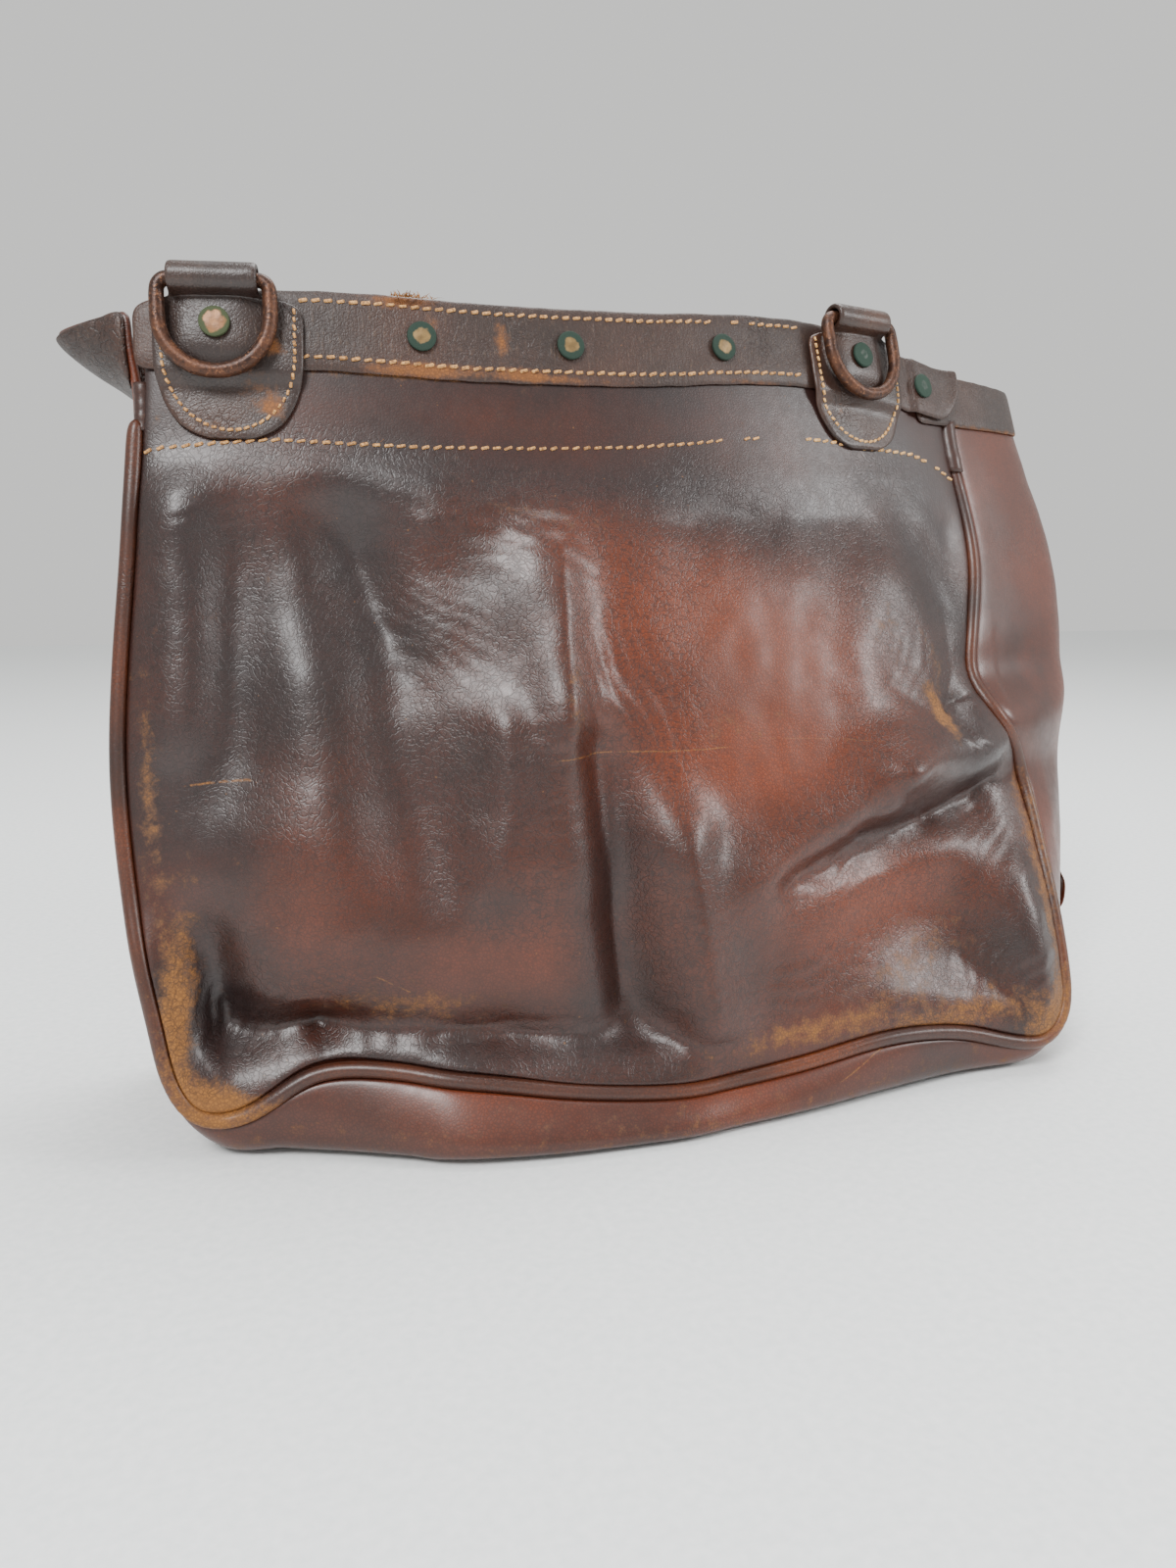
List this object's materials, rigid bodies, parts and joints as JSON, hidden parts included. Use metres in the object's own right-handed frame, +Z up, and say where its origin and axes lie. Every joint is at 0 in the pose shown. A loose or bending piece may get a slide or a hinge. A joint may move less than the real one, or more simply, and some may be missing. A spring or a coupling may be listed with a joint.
{
  "type": "mail carrier bag",
  "caption": "Leather mail satchel with an open mouth, folded side gussets, banded rim and steel D-rings on riveted tabs, standing on its base.",
  "frame": {"origin": "on the floor under the middle of the base", "axes": "+X along the width, to the right when looking at the ring side; +Y from the ring side to the far side; +Z up"},
  "size_m": [0.5244, 0.223, 0.3709],
  "materials": {
    "panel_leather": "oil-tanned, worn, satin sheen",
    "gusset_leather": "oil-tanned, worn, satin sheen",
    "band_leather": "darkened by handling, fibrous, low sheen",
    "piping_leather": "oil-tanned, worn, satin",
    "rusted_steel": "rusty brown, matte",
    "aged_brass": "tarnished with verdigris, matte"
  },
  "bodies": {
    "bag": {"ring_panel": "panel_leather", "far_panel": "panel_leather", "gusset": "gusset_leather", "near_piping": "piping_leather", "far_piping": "piping_leather", "left_side_band": "band_leather", "right_side_band": "band_leather", "near_rim_band": "band_leather", "far_rim_band": "band_leather", "left_ring_tab": "band_leather", "left_tab_rivet": "aged_brass", "right_ring_tab": "band_leather", "right_tab_rivet": "aged_brass", "band_rivet_left": "aged_brass", "band_rivet_middle": "aged_brass", "band_rivet_right": "aged_brass", "corner_rivet": "aged_brass", "left_keeper": "gusset_leather", "right_keeper": "gusset_leather"},
    "ring_left": {"left_d_ring": "rusted_steel"},
    "ring_right": {"right_d_ring": "rusted_steel"}
  },
  "joints": [
    {"name": "left_ring_swing", "type": "hinge", "parent": "bag", "child": "ring_left", "pos_m": [-0.18248, -0.00313, 0.35827], "axis": [-0.9911, 0.1332, 0], "range_deg": [0, 232]},
    {"name": "right_ring_swing", "type": "hinge", "parent": "bag", "child": "ring_right", "pos_m": [0.12027, 0.03013, 0.36437], "axis": [-0.9452, -0.3264, 0], "range_deg": [0, 232]}
  ]
}
